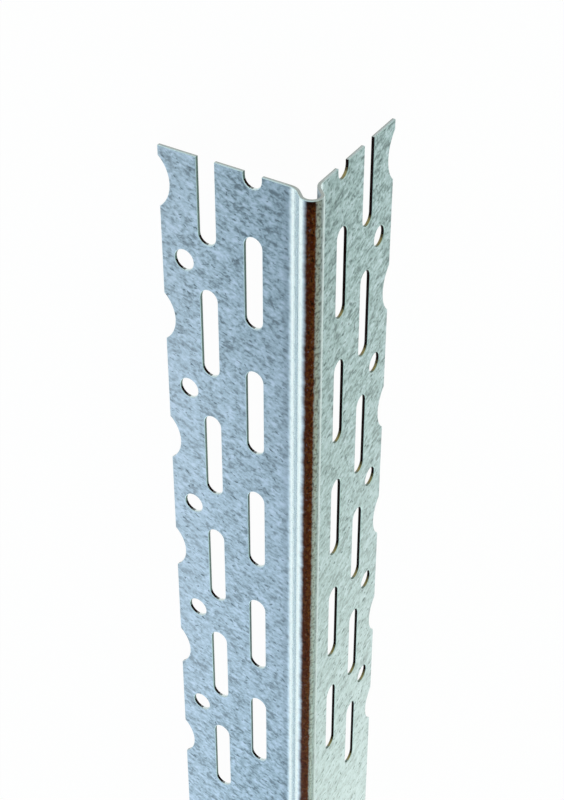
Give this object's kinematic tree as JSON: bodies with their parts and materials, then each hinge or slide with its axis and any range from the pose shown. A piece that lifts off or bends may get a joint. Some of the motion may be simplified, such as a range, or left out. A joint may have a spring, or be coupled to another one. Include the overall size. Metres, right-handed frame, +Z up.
{
  "type": "drywall corner bead",
  "caption": "Galvanised steel corner bead for drywall: a round nose between two slotted wings that are nailed over an outside corner and skimmed with plaster.",
  "frame": {"origin": "on the floor, under the middle of the bead", "axes": "+Y along the bead, away from the end that the picture shows; +Z up, out of the nose; +X across it, towards the right wing seen from that end"},
  "size_m": [0.037, 2.4, 0.0227],
  "materials": {
    "galvanised_steel": "hot-dip zinc with a fine grey mottle, dull; a rust-brown streak along the nose"
  },
  "bodies": {
    "root": {"corner_bead": "galvanised_steel"}
  },
  "joints": []
}
